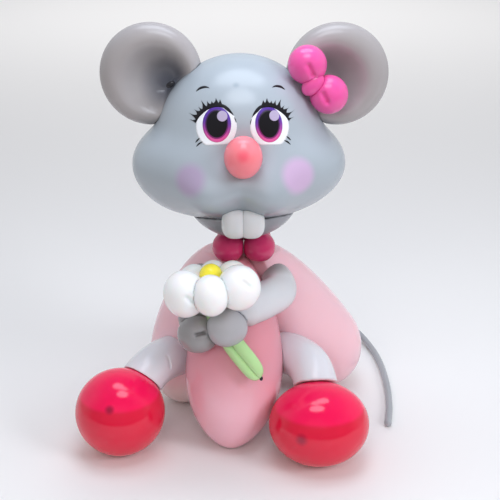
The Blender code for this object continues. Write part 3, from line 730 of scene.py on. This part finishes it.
# The body is four pears tied at the neck: where each is widest, its axis, its radius there, how far it
# reaches below and how far past the neck, and how full its two ends are.
body = {
    "body_front": ((-0.013, -0.086, 0.110), (0.05, 0.41, 0.91), 0.0735, 0.119, 0.0023, 0.58, 0.89),
    "body_right": ((0.1225, 0.075, 0.079), (-0.50, -0.32, 0.80), 0.0710, 0.086, 0.0030, 0.50, 0.37),
    "body_left": ((-0.061, 0.020, 0.136), (0.36, -0.03, 0.93), 0.0765, 0.143, -0.0046, 0.46, 0.36),
    "body_back": ((0.010, 0.118, 0.086), (-0.04, -0.52, 0.85), 0.0720, 0.090, -0.0004, 0.50, 0.40),
}


def pearFrame(name):
    widest, axis = body[name][0], unit(body[name][1])
    side = unit(np.cross(axis, (0.3, 1, 0)))
    return np.array(widest), axis, side, np.cross(axis, side)


def pearRadius(name, height):
    # the radius at a height along the axis: the cosine to a power that sets how full each end is
    widest, axis, radius, below, pastNeck, lowFull, highFull = body[name]
    above = np.linalg.norm(neck - np.array(widest)) + pastNeck
    sine = np.clip(np.where(height > 0, height / above, height / below), -1, 1)
    return radius * (1 - sine ** 2) ** np.where(height > 0, highFull, lowFull), above, below


def pearDrop(name):
    # how far the balloon sinks to stand on the floor, which flattens it a little
    return -floorDent - pearGrid(name, 0.0)[..., 2].min()


def pearGrid(name, drop, rows=130, columns=116):
    # circles about the axis, whose radius follows the pear's outline
    widest, axis, side, front = pearFrame(name)
    slope = np.linspace(np.pi / 2, -np.pi / 2, rows)
    above, below = pearRadius(name, 0.0)[1:]
    height = np.where(slope > 0, above, below) * np.sin(slope)
    radius = pearRadius(name, height)[0]
    points = rings(widest + height[:, None] * axis, radius[:, None], fullTurn(columns), side, front)
    return points + (0, 0, drop)


def pearSkin(name):
    widest, axis, side, front = pearFrame(name)
    widest = widest + np.array((0, 0, bodyDrop[name]))

    def skin(points):
        local = points - widest
        height = local @ axis
        out = local - height[..., None] * axis
        far = np.linalg.norm(out, axis=-1)
        radius, above, below = pearRadius(name, height)
        lean = (pearRadius(name, height + 0.0005)[0] - pearRadius(name, height - 0.0005)[0]) / 0.001
        lean = np.clip(lean, -3, 3)
        steep = np.sqrt(1 + lean ** 2)
        way = out / (far[..., None] + 1e-9) - lean[..., None] * axis
        beyond = np.maximum(height - above, -below - height)
        distance = np.where(beyond > 0, np.maximum(beyond, (far - radius) / steep), (far - radius) / steep)
        return distance, way / steep[..., None]
    return skin


latexBody = makeLatex("latex_pale_pink", "#F5C7D0", "#E5A5B1", rough=0.17, through=0.35, bleed=0.012)
# the front pear is a deeper, darker pink than the others: painted shade of the hands and flower above it;
# lower down it turns paler: painted glow of light let through
latexFront = makeLatex("latex_pale_pink_front", "#E49AA7", "#D98795", rough=0.13, through=0.35,
                       bleed=0.012, paintedLightBand=(0.122, 0.050, "#F3BFCC"))
# the left pear turns paler near the floor: painted glow of light let through
latexLeft = makeLatex("latex_pale_pink_left", "#F5C7D0", "#E5A5B1", rough=0.17, through=0.35, bleed=0.012,
                      paintedLightBand=(0.062, 0.035, "#F4E4DF"))
bodyFinish = {"body_front": latexFront, "body_left": latexLeft, "body_right": latexBody,
              "body_back": latexBody}
bodyDrop = {name: pearDrop(name) for name in body}
for name in body:
    points = pearGrid(name, bodyDrop[name])
    for other in body:
        if other != name:
            ways = [unit(np.array(body[key][0]) - neck) for key in (name, other)]
            points = pressFlat(points, neck, ways[1] - ways[0], 0.004)
    points = pressFlat(points, neck, (0, 0, 1), 0.002, gap)
    points = pressFlat(points, (0, 0, 0), (0, 0, -1), floorDent, 0)
    addPiece(name + "_skin", points, bodyFinish[name], (name,))
bodySkins = [pearSkin(name) for name in body]
print("body")

feet = {
    # place on the floor, radii, and the crown spot's place in the picture and radius
    "right": (footMiddle, (0.0735, 0.066, 0.061), (302.0, 440.0), 0.014),
    "left": ((-0.182, -0.134), (0.0665, 0.066, 0.065), (110.0, 410.0), 0.011),
}
legs = {
    "radius": 0.0325,
    "leg_right": ((0.039, -0.020, 0.105), (0.076, -0.050, 0.116), (0.100, -0.090, 0.116),
                  (0.110, -0.125, 0.098), (0.114, -0.145, 0.0809)),
    "leg_left": ((-0.061, -0.010, 0.096), (-0.099, -0.030, 0.107), (-0.131, -0.070, 0.110),
                 (-0.157, -0.102, 0.093), (-0.170, -0.122, 0.073)),
}
latexLeg = makeLatex("latex_light_grey", "#E1E0E5", "#C0C0C6", rough=0.2, through=0.2)
for side in ("right", "left"):
    place, radii, crownSeen, crownRadius = feet[side]
    centre = np.append(place, radii[2] - floorDent)
    points = centre + sphereGrid(100, 140) * radii
    points = pressFlat(points, (0, 0, 0), (0, 0, -1), floorDent, 0)
    # below about the middle of its height each foot turns a darker brick red: painted shade and painted
    # reflection of the floor
    latexFoot = makeLatex("latex_red_pink_" + side, "#F90F56", "#A5123A", rough=0.13, through=0.2,
                          thickAndShadeSpots=((seenAt(points, crownSeen)[0], crownRadius),),
                          paintedLightBand=(centre[2] + 0.48 * radii[2], 0.0035, "#DC1B38"))
    addPiece("foot_%s_skin" % side, points, latexFoot, ("foot_" + side,))
    points, middle = tubeGrid(legs["leg_" + side], legs["radius"], rows=150, columns=110)
    tight = [ovalSkin(centre, np.array(radii))] + bodySkins
    points = soften(dentBy(points, tubeAnchors(middle, tight), *tight), tight[0])
    if side == "left":
        # a fold where the balloon bends
        fold = seenAt(points, (168.0, 357.0), (170.5, 367.0))
        points = crease(points, np.array(legs["leg_left"][1]), *fold, 0.0035, 0.0022)
    addPiece("leg_%s_skin" % side, points, latexLeg, ("leg_" + side,))
print("feet and legs")

flower = {
    "up": (-0.09, 0.20, 0.97), "centre": (-0.042, -0.150, 0.269), "discRise": 0.0195,
    "discRadius": 0.0162,
    # direction round the flower, distance of the middle, rise of the middle, then the three radii:
    # outwards, sideways, upwards. The small ones are tighter and dent the big ones.
    "petals": ((-150, 0.0425, 0.000, (0.0295, 0.0335, 0.0330)),
               (-90, 0.0380, -0.002, (0.0265, 0.0250, 0.0290)),
               (-27, 0.0430, 0.002, (0.0300, 0.0325, 0.0320)),
               (42, 0.0390, 0.004, (0.0255, 0.0245, 0.0290)),
               (88, 0.0380, 0.005, (0.0250, 0.0240, 0.0290)),
               (133, 0.0390, 0.003, (0.0255, 0.0245, 0.0290))),
    "creases": {1: ((187.6, 298.0), (192.5, 303.5)), 3: ((249.5, 287.0), (244.5, 281.5))},
}
stem = {
    "radius": 0.0080, "waist": 0.82, "side": (0.66, -0.10, 0.74),
    "route": ((-0.004, 0.010, -0.019), (0.002, 0.016, -0.043), (0.015, 0.012, -0.065),
              (0.029, 0.000, -0.086), (0.048, -0.014, -0.106), (0.068, -0.021, -0.130)),
}
flowerUp = unit(flower["up"])
flowerAcross = unit(np.cross((0, 1, 0), flowerUp))
flowerBack = np.cross(flowerUp, flowerAcross)
flowerCentre = np.array(flower["centre"])
latexPetal = makeLatex("latex_white", "#FDFDFD", "#F4F5F6", rough=0.18, through=0.6, bleed=0.016)
petalSkins, petalPoints, petalCentres = [], [], []
for turn, distance, rise, radii in flower["petals"]:
    way = flowerAcross * np.cos(np.radians(turn)) + flowerBack * np.sin(np.radians(turn))
    axes = np.stack((way, np.cross(flowerUp, way), flowerUp), 1)
    petalCentres.append(flowerCentre + way * distance + flowerUp * rise)
    petalPoints.append(petalCentres[-1] + (sphereGrid(82, 112) * radii) @ axes.T)
    petalSkins.append(ovalSkin(petalCentres[-1], np.array(radii), axes))
for number, points in enumerate(petalPoints):
    size = flower["petals"][number][3][1]
    for other in (number - 1, (number + 1) % 6):
        otherSize = flower["petals"][other][3][1]
        if otherSize < size:
            points = dentBy(points, petalCentres[number], petalSkins[other])
        elif otherSize == size:
            between = (petalCentres[number] + petalCentres[other]) / 2
            points = pressFlat(points, between, petalCentres[other] - petalCentres[number], 0.0015)
    if number + 1 in flower["creases"]:
        places = seenAt(points, *flower["creases"][number + 1])
        points = crease(points, petalCentres[number], *places, 0.0035, 0.0036)
    addPiece("petal_%d_skin" % (number + 1), points, latexPetal, ("petal_%d" % (number + 1),))
latexDisc = makeLatex("latex_yellow", "#FFF04A", "#F2DC20", rough=0.17, through=0.25)
disc = flowerCentre + flowerUp * flower["discRise"]
points = disc + sphereGrid(80, 100) * flower["discRadius"]
points = dentBy(points, disc + 0.006 * flowerUp, *petalSkins)
addPiece("flower_centre_skin", points, latexDisc, ("flower_centre",))


def stemGrid(rows=120, columns=80):
    # a figure of eight carried along the route: the radius falls to the waist between the two halves
    curve, length = smoothRoute(flowerCentre + np.array(stem["route"]), 400)
    height = -np.cos(np.linspace(0, np.pi, rows))
    middle, forward = routeAt(curve, length, (1 + height) / 2 * length)
    side = unit(stem["side"])
    turn = fullTurn(columns)
    size = stem["radius"] * np.sqrt(np.clip(1 - np.abs(height) ** 8, 0, 1))[:, None]
    size = size * (stem["waist"] + (2 - stem["waist"]) * np.abs(np.cos(turn)))
    return rings(middle, size, turn, side, unit(np.cross(forward, side))[:, None])


latexStem = makeLatex("latex_light_green", "#BDE3A2", "#7DB85F", rough=0.2, through=0.25)
points = stemGrid()
for skin in petalSkins:
    points = pushOut(points, skin, 0.001)
addPiece("flower_stem_skin", points, latexStem, ("flower_stem",))
# the tied end of the stem
tip = flowerCentre + np.array(stem["route"][-1])
points = tip + sphereGrid(30, 40) * (0.0026, 0.0022, 0.0036) + (0.001, -0.001, 0.000)
addPiece("flower_stem_knot", points, latexKnot)
print("flower")

arms = {
    "radius": 0.0275,
    "arm_right": ((0.010, 0.005, 0.243), (0.042, -0.005, 0.230), (0.054, -0.045, 0.222),
                  (0.032, -0.090, 0.225), (0.002, -0.118, 0.223), (-0.013, -0.134, 0.216)),
    "arm_left": ((-0.020, 0.004, 0.235), (-0.059, -0.015, 0.226), (-0.071, -0.055, 0.219),
                 (-0.068, -0.095, 0.207), (-0.064, -0.118, 0.193), (-0.064, -0.130, 0.191)),
}
hands = {"radii": (0.0300, 0.0285, 0.0275), "right": (-0.022, -0.145, 0.206),
         "left": (-0.064, -0.134, 0.191)}
handRadii = np.array(hands["radii"])
# the spot at the right shoulder darkens the upper arm where it lies under the collar: painted shade
shoulder = np.array((0.046, -0.020, 0.250))
latexArm = makeLatex("latex_arm_grey", "#DBDCE0", "#8A8486", rough=0.2, through=0.2,
                     thickAndShadeSpots=((shoulder, 0.042),))
latexHand = makeLatex("latex_hand_grey", "#B5B5B9", "#777779", rough=0.16, through=0.1)
# the left arm and hand, below the flower, take a darker grey than the right ones: painted shade
latexDark = makeLatex("latex_dark_grey", "#989697", "#5E5E60", rough=0.16, through=0.1)
rightHand, leftHand = np.array(hands["right"]), np.array(hands["left"])
between = (rightHand + leftHand) / 2
for side, finish in (("right", latexArm), ("left", latexDark)):
    points, middle = tubeGrid(arms["arm_" + side], arms["radius"])
    tight = bodySkins + collarSkins + [ovalSkin(hands[side], handRadii)]
    points = dentBy(points, tubeAnchors(middle, tight), *tight)
    addPiece("arm_%s_skin" % side, points, finish, ("arm_" + side,))
stemSkin = tubeSkin(flowerCentre + np.array(stem["route"]), stem["radius"] * 1.6)
for side, centre, other, finish, slot in (("right", rightHand, leftHand, latexHand, "grey"),
                                          ("left", leftHand, rightHand, latexDark, "grey_dark")):
    points = centre + sphereGrid(82, 112) * handRadii
    points = pressFlat(points, between, other - centre, 0.002)
    points = dentBy(points, centre + (0, -0.012, 0), *petalSkins, bodySkins[0], stemSkin)
    if side == "left":
        points = crease(points, centre, *seenAt(points, (196.0, 335.5), (205.5, 332.5)), 0.0100, 0.0026)
    addPiece("hand_%s_skin" % side, points, finish, ("hand_" + side,))
print("arms and hands")

tail = {
    "radius": 0.0056, "thinStart": 0.45,
    "route": ((0.075, 0.165, 0.060), (0.110, 0.205, 0.045), (0.155, 0.252, 0.030), (0.192, 0.262, 0.020),
              (0.215, 0.235, 0.011), (0.231, 0.188, 0.0053), (0.238, 0.140, 0.0053),
              (0.2405, 0.090, 0.0053), (0.240, 0.040, 0.0053), (0.236, -0.010, 0.0053),
              (0.231, -0.045, 0.0053), (0.226, -0.074, 0.0053)),
}
latexTail = makeLatex("latex_tail_grey", "#A2A4A8", "#6E7175", rough=0.25, through=0.05)
points, middle = tubeGrid(tail["route"], tail["radius"], rows=260, columns=24, swell=lambda share:
                          tail["thinStart"] + (1 - tail["thinStart"]) * np.clip(2 * share, 0, 1))
points = pressFlat(points, (0, 0, 0), (0, 0, -1), 0.0003, 0)
for skin in (bodySkins[1], bodySkins[3]):
    points = pushOut(points, skin, 0.001)
addPiece("tail_skin", points, latexTail, ("tail",))
print("tail")


def addSheet(name, near, far, height, finish):
    # a flat sheet, ten metres wide, from one depth to another
    sheet = bpy.data.meshes.new(name)
    corners = [(x, y, height) for x, y in ((-5, near), (5, near), (5, far), (-5, far))]
    sheet.from_pydata(corners, [], [(0, 1, 2, 3)])
    sheet.materials.append(finish)
    piece = bpy.data.objects.new(name, sheet)
    bpy.context.scene.collection.objects.link(piece)
    return piece


paperEdge = -0.62
paper, tree, shader = startFinish("matte_backdrop_paper")
shader.inputs["Base Color"].default_value = linear("#EDEBE9")
shader.inputs["Roughness"].default_value = 0.75
floor = addSheet("floor", paperEdge, 7.5, 0.0, paper)
# the studio's own floor, in front of the paper and out of the picture, darkens away from the paper's edge as
# painted shade
studio, tree, shader = startFinish("matte_studio_floor")
place = addNode(tree, "TexCoord").outputs["Object"]
depth = addNode(tree, "SeparateXYZ", Vector=place).outputs["Y"]
shade = addNode(tree, "MapRange", eased, n0=depth, n1=-1.30, n2=-0.50, n3=1.0, n4=0.0)
tone = addNode(tree, "Mix", ofColours, n0=shade.outputs[0], n6=linear("#DAD5D2"), n7=linear("#5E4A40"))
tree.links.new(tone.outputs[2], shader.inputs["Base Color"])
shader.inputs["Roughness"].default_value = 0.45
nearFloor = addSheet("near_floor", -3.2, paperEdge, -0.002, studio)

lamps = {
    # place, what it points at, its two widths, power in watts, tint, and whether it shows in the gloss
    "overhead_softbox": ((0.0, 0.14, 1.7), (0.0, 0.0, 0.2), (1.2, 0.7), 8.5, "#EAF2FF", True),
    "small_lamp": ((0.02, -0.45, 1.30), (0.0, -0.1, 0.3), (0.6, 0.4), 2.8, "#EEF4FF", True),
    # the walls' light from the front, which is too broad and faint to be seen in the gloss
    "front_fill": ((-0.2, -2.4, 1.6), (0.0, 0.0, 0.3), (2.4, 1.6), 22, "#FFFFFF", False),
    "key_softbox": ((2.3, -1.7, 1.75), (0.0, 0.0, 0.35), (1.3, 1.3), 39, "#F2F6FF", False),
    "background_lamp": ((0.0, 4.4, 2.8), (0.0, 4.4, 0.0), (4.5, 4.0), 86, "#FFFFFF", False),
}
for name, (place, target, size, power, tint, glossy) in lamps.items():
    lamp = bpy.data.lights.new(name, "AREA")
    lamp.shape = "ELLIPSE"
    lamp.size, lamp.size_y = size
    lamp.energy = power
    lamp.color = linear(tint)[:3]
    rig = bpy.data.objects.new(name, lamp)
    rig.location = place
    way = np.array(target) - np.array(place)
    rig.rotation_euler = (np.arctan2(np.hypot(way[0], way[1]), -way[2]), 0, np.arctan2(-way[0], way[1]))
    rig.visible_camera = False
    rig.visible_glossy = glossy
    bpy.context.scene.collection.objects.link(rig)

# the room: pale walls up to a bluer ceiling, and a dim, warm wall behind the camera
world = bpy.data.worlds.new("room")
world.use_nodes = True
room = world.node_tree
roomWay = addNode(room, "TexCoord").outputs["Generated"]
parts = addNode(room, "SeparateXYZ", Vector=roomWay).outputs
ceiling = addNode(room, "MapRange", eased, n0=parts["Z"], n1=0.50, n2=0.92, n3=0.0, n4=1.0)
walls = addNode(room, "Mix", ofColours, n0=ceiling.outputs[0], n6=linear("#D6D8DA"), n7=linear("#9AA3B3"))
front = addNode(room, "MapRange", eased, n0=parts["Y"], n1=-0.5, n2=0.1, n3=0.75, n4=0.0)
tint = addNode(room, "Mix", ofColours, n0=front.outputs[0], n6=walls.outputs[2], n7=linear("#776D68"))
room.links.new(tint.outputs[2], room.nodes["Background"].inputs["Color"])
room.nodes["Background"].inputs["Strength"].default_value = 0.9
bpy.context.scene.world = world
bpy.context.scene.view_settings.view_transform = "Standard"
print("stage and lights")
